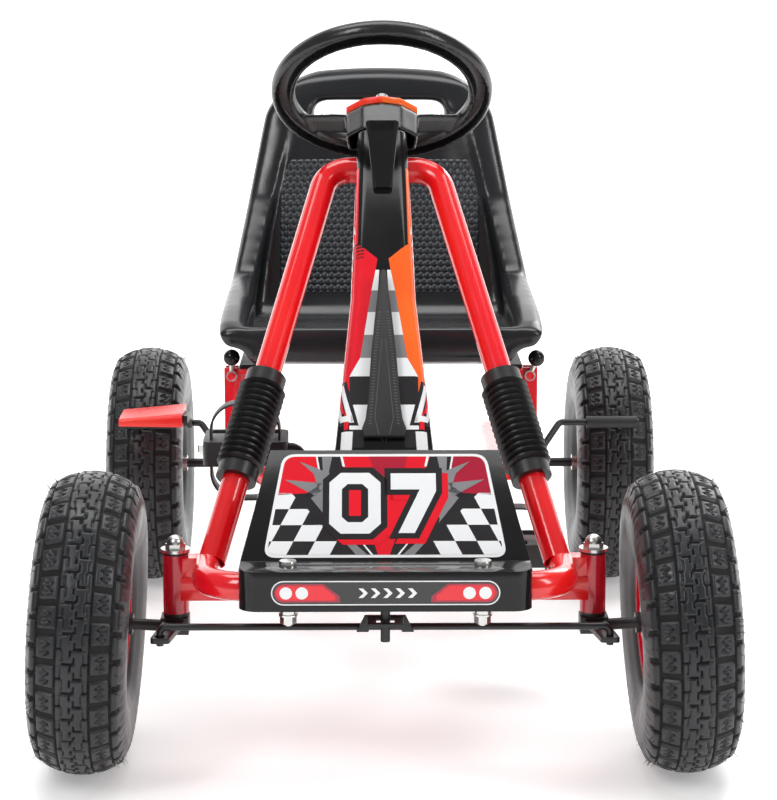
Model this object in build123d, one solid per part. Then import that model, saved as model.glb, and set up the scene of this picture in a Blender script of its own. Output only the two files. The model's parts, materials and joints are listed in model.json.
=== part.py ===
from build123d import *
from math import asin, atan2, cos, degrees, radians, sin, sqrt
import os

# Pedal go kart for a child, facing -Y. Left is the driver's left, +X.
# Millimetres, +Z up, origin on the ground under the middle of the kart.

# Wheels
wheelbase = 660
tyre_r, tyre_w = 130, 80
tread_half, tread_drop = 34, 11
rim_r, flange_r, flange_x = 50.8, 58.5, 27
hub_r, bearing_r, bearing_w, axle_r = 16, 13, 8, 5
camber = 3.1
front_hub_x, rear_hub_x = 251.3, 256.5

# Steering
kingpin_x, kingpin_r, housing_r = 178.7, 5, 11
housing_z0, housing_z1 = 139, 190
column_tilt = 51.3
wheel_ring_r, wheel_tube_r = 93.5, 11.5
tie_rod_y, tie_rod_z, tie_rod_r = -60, 142, 3
pin_x = 188
slot_wide, slot_long, slot_shift = 15, 16, 1
hub_top, hub_foot, pad_thick = 15, 49, 7
spoke_end = [(-3, -38), (3, -38), (3, -62), (-3, -62)]
spoke_root = [(15, -12), (20, -12), (20, -42), (15, -42)]
pad_outline = [(0, 6), (18, 2), (34, -12), (32, -38), (0, -44)]
skirt_outline = [(0, 15), (18, 11), (34, -4), (32, -26), (0, -31)]

# Frame tubes
tube_r, tube_wall = 12, 1.5
bumper_y, bumper_z = -84, 183
spine_r = 17
rail_x, rail_z = 123, 165
post_x, post_y, post_top = 153, 450, 275.5

# Drive
crank_z, crank_throw, crank_lead = 193, 70, 34.5
pitch, front_teeth, rear_teeth, straight_links = 12.7, 24, 12, 37
chain_x = 30
pedal_x = 125

# Brake and seat
clamp_z = 268
brake_y, brake_z, brake_rod_r = 510, 148, 3.5
shell_wall = 3
gap = 0.05

front_y = -wheelbase / 2
rear_y = wheelbase / 2
crown_r = (tread_half**2 + tread_drop**2) / (2 * tread_drop)
front_hub_z = (tyre_r - crown_r) * cos(radians(camber)) + crown_r
sprocket_r = pitch / (2 * sin(radians(180 / front_teeth)))
driven_r = pitch / (2 * sin(radians(180 / rear_teeth)))
centres = sqrt((straight_links * pitch) ** 2 - (sprocket_r - driven_r) ** 2)
crank_y = rear_y - sqrt(centres**2 - (crank_z - tyre_r) ** 2)

nodes = {}


def node(name, *solids):
    nodes[name] = nodes.get(name, []) + [solid for item in solids for solid in item.solids()]


def at(x, y, z):
    """A point whose y is counted from the front axle."""
    return Vector(x, front_y + y, z)


def rod(start, end, radius, bore=0):
    start, end = Vector(start), Vector(end)
    plane = Plane(origin=start, z_dir=end - start)
    body = extrude(plane * Circle(radius), (end - start).length)
    return body - extrude(plane * Circle(bore), (end - start).length) if bore else body


def pipe(points, bend, radius, wall=0):
    path = FilletPolyline(*points, radius=bend)
    start = Plane(origin=path @ 0, z_dir=path % 0)
    tube = sweep(start * Circle(radius), path=path)
    return tube - sweep(start * Circle(radius - wall), path=path) if wall else tube


def block(x0, x1, y0, y1, z0, z1):
    """A box whose y is counted from the front axle."""
    middle = at((x0 + x1) / 2, (y0 + y1) / 2, (z0 + z1) / 2)
    return Pos(*middle) * Box(x1 - x0, y1 - y0, z1 - z0)


def mirrored(part):
    return mirror(part, about=Plane.YZ)


def prism(points, plane, depth, both=False, rounding=0):
    """The outline of points on a plane, extruded."""
    face = make_face(Polyline(*points, close=True))
    if rounding:
        face = fillet(face.vertices(), rounding)
    return extrude(plane * face, depth, both=both)


def hexagon(start, end, across, bore=0):
    start, end = Vector(start), Vector(end)
    plane = Plane(origin=start, z_dir=end - start)
    nut = extrude(plane * RegularPolygon(across / 2, 6, major_radius=False), (end - start).length)
    return nut - extrude(plane * Circle(bore), (end - start).length) if bore else nut


# ---------------------------------------------------------------- wheels, built about X at the origin


def spun(outline):
    return revolve(Plane.XY * outline, axis=Axis.X)


def tyre():
    side_x, side_r = tyre_w / 2, 92
    shoulder = tyre_r - tread_drop
    outside = [
        Line((-flange_x, 51), (-flange_x, flange_r)),
        ThreePointArc((-flange_x, flange_r), (-side_x, side_r), (-tread_half, shoulder)),
        ThreePointArc((-tread_half, shoulder), (0, tyre_r), (tread_half, shoulder)),
        ThreePointArc((tread_half, shoulder), (side_x, side_r), (flange_x, flange_r)),
        Line((flange_x, flange_r), (flange_x, 51)),
    ]
    inside = [
        Line((flange_x, 51), (flange_x - 4, 51)),
        Line((flange_x - 4, 51), (flange_x - 4, flange_r)),
        ThreePointArc((flange_x - 4, flange_r), (side_x - 4, side_r), (tread_half - 4, shoulder - 4)),
        ThreePointArc((tread_half - 4, shoulder - 4), (0, tyre_r - 6), (4 - tread_half, shoulder - 4)),
        ThreePointArc((4 - tread_half, shoulder - 4), (4 - side_x, side_r), (4 - flange_x, flange_r)),
        Line((4 - flange_x, flange_r), (4 - flange_x, 51)),
        Line((4 - flange_x, 51), (-flange_x, 51)),
    ]
    return spun(make_face(outside + inside))


def inner_tube():
    middle_r = 89
    ring = spun(Pos(0, middle_r) * Ellipse(21, 32)) - spun(Pos(0, middle_r) * Ellipse(19.5, 30.5))
    stem = rod((6, 60, 0), (6, 28, 0), 3)
    return ring + (stem - spun(Pos(0, middle_r) * Ellipse(20, 31)))


def rim_half():
    """The +X half of a pressed rim: dish, well and flange."""
    well = [
        (0, hub_r), (2.5, hub_r), (2.5, 40), (11, 48.3), (flange_x, 48.3), (flange_x, flange_r),
        (flange_x + 1, flange_r + 1), (flange_x + 2, flange_r), (flange_x + 2, 46.3), (13, 46.3),
        (5, 38.5), (5, hub_r),
    ]
    dish = spun(make_face(Polyline(*well, close=True)))
    web = spun(make_face(Polyline((0, 40), (2.5, 40), (11, 48.3), (11, rim_r), (0, rim_r), close=True)))
    half = dish + web
    for turn in range(4):
        half -= Rot(45 + 90 * turn, 0, 0) * rod((-1, 27, 0), (6, 27, 0), 3.1)
    return half - rod((6, 62, 0), (6, 20, 0), 3.6)


def rim(hub_bore):
    half = rim_half()
    hub = rod((-30, 0, 0), (30, 0, 0), hub_r - gap, hub_bore)
    if hub_bore > axle_r + 1:
        for side in (-1, 1):
            hub -= rod((side * 30, 0, 0), (side * (30 - bearing_w), 0, 0), bearing_r)
    bolts = []
    for turn in range(4):
        spin = Rot(45 + 90 * turn, 0, 0)
        shank = rod((-5, 27, 0), (9.4, 27, 0), 3)
        bolts += [spin * (shank + hexagon((-8.5, 27, 0), (-5, 27, 0), 10))]
        bolts += [spin * hexagon((5, 27, 0), (9.4, 27, 0), 10, 3)]
    return [half, mirror(half, about=Plane.YZ), hub] + bolts


def wheel_bearings():
    rings = []
    for side in (-1, 1):
        start, end = (side * 30, 0, 0), (side * (30 - bearing_w), 0, 0)
        rings += [rod(start, end, bearing_r - 0.02, 10.5), rod(start, end, 7.5, axle_r + gap)]
        rings += [rod((side * 29, 0, 0), (side * 23, 0, 0), 10.5, 7.5)]
    return rings


def place(side, front):
    """Where a wheel sits, with its outer face away from the kart."""
    if front:
        return Pos(side * front_hub_x, front_y, front_hub_z) * Rot(0, -side * camber, 0)
    return Pos(side * rear_hub_x, rear_y, tyre_r)


def wheels():
    casing, tube = tyre(), inner_tube()
    facing = {1: Rot(0, 0, 0), -1: Rot(0, 0, 180)}
    for side, name in ((1, "left"), (-1, "right")):
        spot = place(side, True) * facing[side]
        node(f"tyre_front_{name}", spot * casing)
        node(f"inner_tube_front_{name}", spot * tube)
        node(f"rim_front_{name}", *[spot * piece for piece in rim(8)])
        node(f"wheel_bearings_{name}", *[spot * ring for ring in wheel_bearings()])
        spot = place(side, False) * facing[side]
        node("rear_tyres", spot * casing)
        node("rear_inner_tubes", spot * tube)
        node("rear_rims", *[spot * piece for piece in rim(axle_r)])


# ---------------------------------------------------------------- steering

column_dir = Vector(0, cos(radians(column_tilt)), sin(radians(column_tilt)))
column_front = Vector(0, -column_dir.Z, column_dir.Y)
wheel_centre = at(0, 295, 565)
crank_arm_z, crank_pin_y = 164.5, -76


def on_column(drop, forward=0, x=0):
    """A point at a distance down the steering shaft from the wheel's centre."""
    return wheel_centre - column_dir * drop + column_front * forward + Vector(x, 0, 0)


def across_column(drop):
    return Plane(origin=on_column(drop), x_dir=(1, 0, 0), z_dir=-column_dir)


def spindle(side, length):
    """A point on a front spindle, at a distance outwards from the middle of its wheel."""
    reach = side * (front_hub_x + length * cos(radians(camber)))
    return Vector(reach, front_y, front_hub_z + length * sin(radians(camber)))


def knuckle():
    """The left knuckle: kingpin, collar, spindle and steering arm, welded in one piece."""
    inner = spindle(1, -(front_hub_x - kingpin_x - 12))
    pin = rod(at(kingpin_x, 0, 122), at(kingpin_x, 0, 200), kingpin_r)
    boss = block(kingpin_x - 11, kingpin_x + 13, -11, 11, 121, 135.6)
    axle = rod(inner, spindle(1, 44), axle_r)
    stop = rod(spindle(1, -35.5), spindle(1, -30.5), 9)
    outline = [(kingpin_x - 8, -10), (kingpin_x + 10, -10), (pin_x + 8, tie_rod_y - 8), (pin_x - 8, tie_rod_y - 8)]
    arm = prism(outline, Plane(origin=at(0, 0, 129.5)), 4.5, rounding=3)
    hole = rod(at(pin_x, tie_rod_y, 128), at(pin_x, tie_rod_y, 136), tie_rod_r + gap)
    return pin + boss + axle + stop + arm - hole


def knuckles():
    left = knuckle()
    wide = rod(at(pin_x, tie_rod_y, 128), at(pin_x, tie_rod_y, 136), tie_rod_r + 1.7)
    node("knuckle_left", left)
    node("knuckle_right", mirrored(left + rod(at(pin_x, tie_rod_y, 129.5), at(pin_x, tie_rod_y, 134), 5) - wide))
    washer = rod(at(kingpin_x, 0, 192.4), at(kingpin_x, 0, 195), 12.5, kingpin_r)
    nut = hexagon(at(kingpin_x, 0, 195), at(kingpin_x, 0, 199), 15, kingpin_r)
    dome = Pos(*at(kingpin_x, 0, 199)) * Sphere(7.4)
    dome = dome - block(kingpin_x - 9, kingpin_x + 9, -9, 9, 185, 199) - rod(
        at(kingpin_x, 0, 198), at(kingpin_x, 0, 200), kingpin_r)
    axle_nut = hexagon(spindle(1, 31.5), spindle(1, 38), 15, axle_r)
    axle_washer = rod(spindle(1, 30.2), spindle(1, 31.5), 9, axle_r)
    for side, name in ((1, "left"), (-1, "right")):
        for piece in (washer, nut, dome, axle_washer, axle_nut):
            node(f"knuckle_nuts_{name}", piece if side > 0 else mirrored(piece))


def tie_rod():
    """A bent rod between the knuckle arms with a raised, slotted bridge in the middle."""
    points = [at(-pin_x, tie_rod_y, 126), at(-pin_x, tie_rod_y, tie_rod_z),
              at(pin_x, tie_rod_y, tie_rod_z), at(pin_x, tie_rod_y, 126)]
    link = pipe(points, 6, tie_rod_r)
    bridge = prism([(-24, 139), (-14, 139), (-10, 149), (10, 149), (14, 139), (24, 139), (17, 153), (-17, 153)],
                   Plane(origin=at(0, tie_rod_y - 2.5, 0), x_dir=(1, 0, 0), z_dir=(0, -1, 0)), 4)
    shelf = block(-15, 15, crank_pin_y - 12, tie_rod_y - 2, 149, 152)
    slot = Pos(*at(0, crank_pin_y + slot_shift, 150)) * Box(slot_wide, slot_long, 10)
    node("tie_rod", link + bridge + shelf - slot)


def steering():
    foot = on_column(517)
    arm = block(-8, 8, crank_pin_y - 6, foot.Y - front_y + 5, crank_arm_z - 2.5, crank_arm_z + 2.5)
    bar = rod(at(0, crank_pin_y, crank_arm_z), at(0, crank_pin_y, 134), 4)
    node("steering_shaft", rod(on_column(hub_top + 3), foot, axle_r) + arm + bar)

    pad = loft([hub_outline(hub_top - pad_thick, pad_outline), hub_outline(hub_top, pad_outline)])
    ring = across_column(0) * Torus(wheel_ring_r, wheel_tube_r)
    groove = spin_ring(wheel_ring_r - 6, wheel_ring_r + 6, -2, 14)
    inside_ring = extrude(across_column(-20) * Circle(wheel_ring_r - 9), 60)
    spoke = loft([hub_section(80, spoke_end), hub_section(30, spoke_root)])
    spokes = (spoke + mirrored(spoke)) & inside_ring
    skirt = loft([hub_outline(hub_top, pad_outline), hub_outline(hub_foot, skirt_outline)])
    hollow = loft([hub_outline(hub_top + 3, pad_outline, 3), hub_outline(hub_foot, skirt_outline, 3)])
    boss = extrude(across_column(hub_top) * Circle(8), hub_foot - hub_top) & skirt
    bore = rod(on_column(hub_top - 1), on_column(hub_foot + 1), axle_r)
    node("steering_wheel", ring - groove + (spokes - skirt - pad) + (skirt - hollow) + boss - bore)
    head = extrude(across_column(hub_top - pad_thick - 3) * Circle(5.5), 3)
    bolt = head + extrude(across_column(hub_top - pad_thick) * Circle(4), pad_thick + 2.9)
    node("steering_hub_pad", pad - bolt)
    node("steering_wheel_bolt", bolt)


def hub_section(x, outline):
    """A slice across a spoke: pairs of how far down the column and how far forward."""
    points = [on_column(drop, forward, x) for drop, forward in outline]
    return make_face(Polyline(*points, close=True))


def hub_outline(drop, half, inset=0):
    """A slice across the hub at a distance down the column, from half of its outline."""
    points = half + [(-x, y) for x, y in reversed(half[1:-1])]
    face = make_face(Polyline(*[on_column(0, y, x) for x, y in points], close=True))
    face = offset(face, amount=-inset) if inset else face
    return Pos(*(on_column(drop) - on_column(0))) * face


def spin_ring(inner_r, outer_r, above, below):
    band = Circle(outer_r) - Circle(inner_r)
    return extrude(across_column(above) * band, below - above)


# ---------------------------------------------------------------- frame

hoop_back = 24.5
hoop_crossing = on_column(72, -hoop_back)


def hoop_points():
    top = hoop_crossing
    foot_y, foot_z = 0, 183
    corner = 51
    lead = Vector(148 - corner, front_y + foot_y - top.Y, foot_z - top.Z)
    low = Vector(corner, top.Y, top.Z) + lead
    return [low, Vector(corner, top.Y, top.Z), Vector(-corner, top.Y, top.Z), Vector(-low.X, low.Y, low.Z)]


def bumper_points():
    foot, corner = at(152, 4, 179), at(148, bumper_y, bumper_z)
    return [Vector(-foot.X, foot.Y, foot.Z), Vector(-corner.X, corner.Y, corner.Z), corner, foot]


def frame():
    beam = block(-200, 200, -10, 10, 151, 171) - block(-200, 200, -8.4, 8.4, 152.6, 169.4)
    housing = rod(at(kingpin_x, 0, housing_z0), at(kingpin_x, 0, housing_z1), housing_r)
    beam = (beam & block(-kingpin_x, kingpin_x, -20, 20, 100, 200)) - housing - mirrored(housing)
    node("front_axle_beam", beam)
    bore = rod(at(kingpin_x, 0, housing_z0), at(kingpin_x, 0, housing_z1), 8)
    node("kingpin_housings", housing - bore, mirrored(housing - bore))
    for z0, z1, rim_z in ((housing_z0, housing_z0 + 14, housing_z0 - 3), (housing_z1, housing_z1 - 14, housing_z1 + 2)):
        bush = rod(at(kingpin_x, 0, z0), at(kingpin_x, 0, z1), 7.95) + rod(
            at(kingpin_x, 0, rim_z), at(kingpin_x, 0, z0), 11)
        bush -= rod(at(kingpin_x, 0, 100), at(kingpin_x, 0, 240), kingpin_r + gap)
        node("plain_bushes", bush, mirrored(bush))

    keep_out = rod(at(kingpin_x, 0, 120), at(kingpin_x, 0, 240), housing_r)
    bumper = pipe(bumper_points(), 38, tube_r, tube_wall) - keep_out - mirrored(keep_out)
    bumper_solid = pipe(bumper_points(), 38, tube_r)
    bumper -= block(-kingpin_x, kingpin_x, -10, 10, 151, 171)
    hoop = pipe(hoop_points(), 26, tube_r, tube_wall)
    hoop_solid = pipe(hoop_points(), 26, tube_r)
    hoop -= bumper_solid
    hoop -= block(-400, 400, -300, 600, 100, 171)
    hoop = Compound(children=[max(hoop.solids(), key=lambda solid: solid.volume)])
    side = block(140, kingpin_x - 2, -9, 9, 171, 188)
    lug = side - bumper_solid - hoop_solid - keep_out
    lug = max(lug.solids(), key=lambda solid: solid.volume)
    node("front_axle_beam", lug, mirrored(lug))
    node("bumper_tube", max(bumper.solids(), key=lambda solid: solid.volume))
    node("hoop_tube", hoop)

    gaiter()

    upper = rod(on_column(84), on_column(140), tube_r, 8)
    upper -= hoop_solid
    upper -= rod(on_column(70), on_column(150), 8)
    lower = rod(on_column(455), on_column(485), 10, 7.5)
    plate = block(-11, 11, 4, 8, 171, 204) - rod(on_column(440), on_column(500), 10)
    plate = min(plate.solids(), key=lambda solid: solid.center().Z)
    node("column_housings", upper, lower + plate)
    for start, end, outer in ((84, 96, 7.95), (140, 128, 7.95), (455, 465, 7.45), (485, 475, 7.45)):
        lip = start - 2 if end > start else start + 2
        bush = rod(on_column(start), on_column(end), outer) + rod(on_column(start), on_column(lip), outer + 2)
        node("plain_bushes", bush - rod(on_column(0), on_column(520), axle_r + gap))

    cross_y = 410
    spine = rod(at(0, 10, 160), at(0, cross_y - tube_r, 160), spine_r, spine_r - 2)
    shell = rod(Vector(-20, crank_y, crank_z), Vector(20, crank_y, crank_z), 14)
    saddle = block(-12, 12, crank_y - front_y - 10, crank_y - front_y + 10, 166, crank_z)
    saddle = saddle - shell - rod(at(0, 10, 160), at(0, cross_y, 160), spine_r)
    saddle = max(saddle.solids(), key=lambda solid: solid.volume)
    node("spine_tube", spine)
    node("crank_housing", (shell + saddle) - rod((-21, crank_y, crank_z), (21, crank_y, crank_z), 10))
    for side in (-1, 1):
        bush = rod((side * 20, crank_y, crank_z), (side * 8, crank_y, crank_z), 9.95)
        bush += rod((side * 22, crank_y, crank_z), (side * 20, crank_y, crank_z), 12)
        node("plain_bushes", bush - rod((-30, crank_y, crank_z), (30, crank_y, crank_z), 4.5 + gap))

    rear_end = 662
    rails = pipe([at(-rail_x, rear_end, rail_z), at(-rail_x, cross_y, rail_z), at(rail_x, cross_y, rail_z),
                  at(rail_x, rear_end, rail_z)], 40, tube_r, tube_wall)
    rails_solid = pipe([at(-rail_x, rear_end, rail_z), at(-rail_x, cross_y, rail_z), at(rail_x, cross_y, rail_z),
                        at(rail_x, rear_end, rail_z)], 40, tube_r)
    node("rear_subframe", rails)
    carrier = block(rail_x - 5, rail_x + 5, 640, 680, 112, 165)
    carrier -= rails_solid + rod(at(rail_x, 630, rail_z), at(rail_x, 690, rail_z), tube_r)
    carrier = min(carrier.solids(), key=lambda solid: solid.center().Z)
    carrier -= rod((rail_x - 9, rear_y, tyre_r), (rail_x + 9, rear_y, tyre_r), 13)
    node("rear_subframe", carrier, mirrored(carrier))
    for start, end, outer, inner in ((-5, 5, 12.98, 10.5), (-5, 5, 7.5, axle_r + gap), (-4, 4, 10.5, 7.5)):
        ring = rod((rail_x + start, rear_y, tyre_r), (rail_x + end, rear_y, tyre_r), outer, inner)
        node("rear_bearings", ring, mirrored(ring))
    post = block(post_x - 8, post_x + 8, post_y - 8, post_y + 8, rail_z - 10, post_top)
    post -= block(post_x - 6.5, post_x + 6.5, post_y - 6.5, post_y + 6.5, rail_z - 8, post_top)
    foot = block(rail_x, post_x - 8, post_y - 8, post_y + 8, rail_z - 8, rail_z + 8) - rails_solid
    gusset = prism([(post_x - 8, post_top - 4), (post_x - 8, 244), (post_x - 34, post_top - 8),
                    (post_x - 34, post_top - 4)],
                   Plane(origin=at(0, post_y + 2, 0), x_dir=(1, 0, 0), z_dir=(0, -1, 0)), 4)
    guide = block(post_x - 34, post_x - 8, post_y - 22, 610, post_top - 4, post_top)
    post = post + max(foot.solids(), key=lambda solid: solid.center().X) + gusset + guide
    node("seat_posts", post, mirrored(post))


def gaiter():
    """A ribbed rubber sleeve round each hoop leg."""
    low, corner = hoop_points()[:2]
    along = (corner - low).normalized()
    start = low + along * ((243 - low.Z) / along.Z)
    plane = Plane(origin=start, z_dir=along)
    length, ribs = 108, 14
    cuff, rib_pitch = 12, 6
    inner, valley, crest = tube_r + gap, 17, 21
    outline = [(inner, 0), (18, 0), (18, cuff)]
    for rib in range(ribs):
        foot = cuff + rib * rib_pitch
        outline += [(valley, foot + 1), (crest, foot + rib_pitch / 2), (valley, foot + rib_pitch - 1)]
    outline += [(18, length - cuff), (18, length), (inner, length)]
    sleeve = revolve(plane * (Rot(90, 0, 0) * make_face(Polyline(*outline, close=True))),
                     axis=Axis(start, along))
    node("hoop_gaiters", sleeve, mirrored(sleeve))


# ---------------------------------------------------------------- covers


def bumper_block(inset, below=0):
    """The bumper cover's full shape, drawn smaller by inset."""
    front, shelf, top = -111 + inset, 202 - inset, 280 - inset
    back = [(6, 276), (-50, 168.7)] if not below else [(30, 276), (30, 168.7 - below)]
    side = [(front, 168.7 - below), (front, shelf), (-74 + inset * 0.4, shelf), (0 - inset * 0.6, top)] + back
    solid = prism(side, Plane(origin=at(0, 0, 0), x_dir=(0, 1, 0), z_dir=(1, 0, 0)), 130, both=True)
    low, high = 120 - inset, 94 - inset
    outline = [(-low, 160 - below), (low, 160 - below), (low, 200), (high, 290), (-high, 290), (-low, 200)]
    solid &= prism(outline, Plane(origin=at(0, -200, 0), x_dir=(1, 0, 0), z_dir=(0, -1, 0)), -400)
    plan = Pos(*at(0, 0, 0)) * Pos(0, 0, 100) * extrude(RectangleRounded(2 * low, 222 - 2 * inset, 16 - inset), 220)
    return solid & plan


def covers():
    shell = bumper_block(0) - bumper_block(shell_wall, below=5)
    bolt_x, bolt_y = 80, bumper_y
    for x in (-bolt_x, bolt_x):
        shell -= rod(at(x, bolt_y, 190), at(x, bolt_y, 206), 3.2)
        head = Pos(*at(x, bolt_y, 202)) * Sphere(7.5)
        head = (head & block(x - 9, x + 9, bolt_y - 9, bolt_y + 9, 202, 205)) + rod(
            at(x, bolt_y, 202), at(x, bolt_y, 150), 3)
        node("bumper_bolts", head)
        saddle = rod(at(x, bolt_y, 160), at(x, bolt_y, 175), 7, 3) - rod(
            at(x - 20, bumper_y, bumper_z), at(x + 20, bumper_y, bumper_z), tube_r)
        saddle = min(saddle.solids(), key=lambda solid: solid.center().Z)
        node("bumper_nuts", rod(at(x, bolt_y, 158.5), at(x, bolt_y, 160), 8, 3),
             hexagon(at(x, bolt_y, 152), at(x, bolt_y, 158.5), 12, 3))
        node("bumper_nuts", saddle)
    node("bumper_cover", shell - pipe(bumper_points(), 38, tube_r + 0.6))
    holes = [rod(at(x, bolt_y, 150), at(x, bolt_y, 206), 3) for x in (-bolt_x, bolt_x)]
    nodes["bumper_tube"] = [solid for solid in
                            (nodes["bumper_tube"][0] - holes[0] - holes[1]).solids()]

    column_cover()


def cover_block(inset):
    """The steering column cover, full shape: narrow at the wheel and wide at the foot."""
    sections = []
    for drop, width, front, back in ((54, 46, 17, 39), (236, 58, 23, 36), (430, 92, 33, 30)):
        drop = drop + inset if drop < 100 else drop + (5 if inset and drop > 400 else 0)
        height = front + back - 2 * inset
        middle = (front - back) / 2
        plane = across_column(drop)
        centre = plane.origin + column_front * middle
        section = Plane(origin=centre, x_dir=(1, 0, 0), z_dir=plane.z_dir)
        sections.append(section * RectangleRounded(width - 2 * inset, height, 11 - inset))
    return loft(sections, ruled=True)


def column_cover():
    cover = cover_block(0) - cover_block(2.5)
    cover -= rod(on_column(44), on_column(64), 11)
    clear = pipe(hoop_points(), 26, tube_r + 0.5)
    cover -= clear
    front_side = extrude(Plane(origin=on_column(250), x_dir=(1, 0, 0), z_dir=column_front) * Rectangle(400, 900), 100)
    node("column_cover_front", cover & front_side)
    rear = cover - front_side
    node("column_cover_rear", max(rear.solids(), key=lambda solid: solid.volume))

    surface = Plane(origin=on_column(236, 23), x_dir=(1, 0, 0), z_dir=column_front)
    half = [(2, 18), (6.5, -19), (11, -67), (14, -115), (16, -132), (19, -141), (18, -150)]
    wedge = half + [(-x, y) for x, y in reversed(half)]
    insert = prism(wedge, surface, 14) - cover_block(0)
    node("column_insert", max(insert.solids(), key=lambda solid: solid.volume))
    top_plane, low_plane = across_column(52), across_column(122)
    top = Plane(origin=top_plane.origin + column_front * 22, x_dir=(1, 0, 0), z_dir=top_plane.z_dir)
    low = Plane(origin=low_plane.origin + column_front * 20, x_dir=(1, 0, 0), z_dir=low_plane.z_dir)
    beak = loft([top * RectangleRounded(31, 14, 4), low * RectangleRounded(17, 8, 3)]) - cover_block(0)
    node("column_beak", max(beak.solids(), key=lambda solid: solid.volume))


# ---------------------------------------------------------------- drive


def sprocket(centre, radius, teeth, phase, bore):
    """A chain wheel in the YZ plane, with a tooth gap facing the angle phase."""
    roller_gap, tip = 4.3, 2.4
    blank = rod((chain_x - 1.3, *centre), (chain_x + 1.3, *centre), radius + tip)
    for tooth in range(teeth):
        angle = radians(phase + 360 / teeth * tooth)
        y, z = centre[0] + radius * cos(angle), centre[1] + radius * sin(angle)
        out_y, out_z = centre[0] + (radius + 4.5) * cos(angle), centre[1] + (radius + 4.5) * sin(angle)
        seat = rod((chain_x - 2, y, z), (chain_x + 2, y, z), roller_gap)
        mouth = rod((chain_x - 2, out_y, out_z), (chain_x + 2, out_y, out_z), 5.8)
        blank = blank - seat - mouth
    return blank - rod((chain_x - 2, *centre), (chain_x + 2, *centre), bore)


def chain_nodes():
    """The centres of the chain's rollers, in order round the loop, as (y, z)."""
    lean = degrees(atan2(tyre_r - crank_z, rear_y - crank_y))
    crank, axle = (crank_y, crank_z), (rear_y, tyre_r)

    def turned(centre, radius, angle):
        return centre[0] + radius * cos(radians(angle + lean)), centre[1] + radius * sin(radians(angle + lean))

    front_step, rear_step = 360 / front_teeth, 360 / rear_teeth
    front = [turned(crank, sprocket_r, 90 + front_step * k) for k in range(front_teeth // 2 + 1)]
    rear = [turned(axle, driven_r, -90 + rear_step * k) for k in range(rear_teeth // 2 + 1)]
    loop = list(front)
    for start, end, after in ((front[-1], rear[0], rear), (rear[-1], front[0], [])):
        for k in range(1, straight_links):
            part = k / straight_links
            loop.append((start[0] + part * (end[0] - start[0]), start[1] + part * (end[1] - start[1])))
        loop += after
    return loop, lean


def chain():
    """Inner links with their rollers and outer links with their pins, alternating."""
    roller_r, pin_r, link_r = 3.85, 1.8, 3.6
    loop, _ = chain_nodes()
    plate = SlotCenterToCenter(pitch, 2 * link_r)

    def slab(x0, x1):
        return Pos(x0, 0, 0) * extrude(Plane.YZ * plate, x1 - x0)

    ends = (-pitch / 2, pitch / 2)
    inner = slab(-2.8, -1.8) + slab(1.8, 2.8)
    outer = slab(-3.9, -2.9) + slab(2.9, 3.9)
    for y in ends:
        inner += rod((-1.8, y, 0), (1.8, y, 0), roller_r)
        outer += rod((-4.4, y, 0), (4.4, y, 0), pin_r)
    for y in ends:
        inner -= rod((-4, y, 0), (4, y, 0), pin_r + gap)
    for number, start in enumerate(loop):
        end = loop[(number + 1) % len(loop)]
        turn = degrees(atan2(end[1] - start[1], end[0] - start[0]))
        spot = Pos(chain_x, (start[0] + end[0]) / 2, (start[1] + end[1]) / 2) * Rot(turn, 0, 0)
        node("chain", spot * (inner if number % 2 else outer))


def crank_end(side):
    """A pedal spindle's place as (y, z): left and right are half a turn apart."""
    angle = radians(crank_lead + (0 if side < 0 else 180))
    return crank_y - crank_throw * sin(angle), crank_z + crank_throw * cos(angle)


def drive():
    bend_x, rod_r = 77, 4.5
    left, right = crank_end(1), crank_end(-1)
    points = [(-169, *right), (-bend_x, *right), (-bend_x + 12, crank_y, crank_z),
              (bend_x - 12, crank_y, crank_z), (bend_x, *left), (169, *left)]
    node("crank", pipe(points, 10, rod_r))
    loop, lean = chain_nodes()
    front = sprocket((crank_y, crank_z), sprocket_r, front_teeth, lean, rod_r)
    node("drive_sprocket", front)
    rear = sprocket((rear_y, tyre_r), driven_r, rear_teeth, lean, axle_r)
    node("driven_sprocket", rear)
    axle_end = rear_hub_x + 40
    node("rear_axle", rod((-axle_end, rear_y, tyre_r), (axle_end, rear_y, tyre_r), axle_r))
    for side in (-1, 1):
        near, far = side * (rear_hub_x + 30.3), side * (rear_hub_x + 37)
        node("rear_axle_nuts", hexagon((near, rear_y, tyre_r), (far, rear_y, tyre_r), 15, axle_r))
        collar = side * (rear_hub_x - 30.3)
        node("rear_axle_nuts",
             rod((collar, rear_y, tyre_r), (collar - side * 10, rear_y, tyre_r), 9, axle_r))
        end = crank_end(side)
        node("pedal_nuts", hexagon((side * 163.5, *end), (side * 168, *end), 12, rod_r))
    chain()
    chain_guard()
    for side, name in ((1, "left"), (-1, "right")):
        pedal(side, name)


def guard_outline(grow):
    """The chain's outline grown outwards, as an extrusion from x 0 to 1."""
    front, rear = sprocket_r + grow, driven_r + grow
    lean = atan2(tyre_r - crank_z, rear_y - crank_y)
    tip = asin((front - rear) / centres)
    points = []
    for centre, radius in (((crank_y, crank_z), front), ((rear_y, tyre_r), rear)):
        for sign in (1, -1):
            angle = lean + sign * (radians(90) - tip)
            points.append((centre[0] + radius * cos(angle), centre[1] + radius * sin(angle)))
    upper_front, lower_front, upper_rear, lower_rear = points
    shape = make_face(Polyline(upper_front, upper_rear, lower_rear, lower_front, close=True))
    shape += Pos(crank_y, crank_z) * Circle(front)
    shape += Pos(rear_y, tyre_r) * Circle(rear)
    return extrude(Plane.YZ * shape, 1)


def guard_slab(grow, x0, x1):
    return Pos(x0, 0, 0) * scale(guard_outline(grow), by=(x1 - x0, 1, 1))


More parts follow.
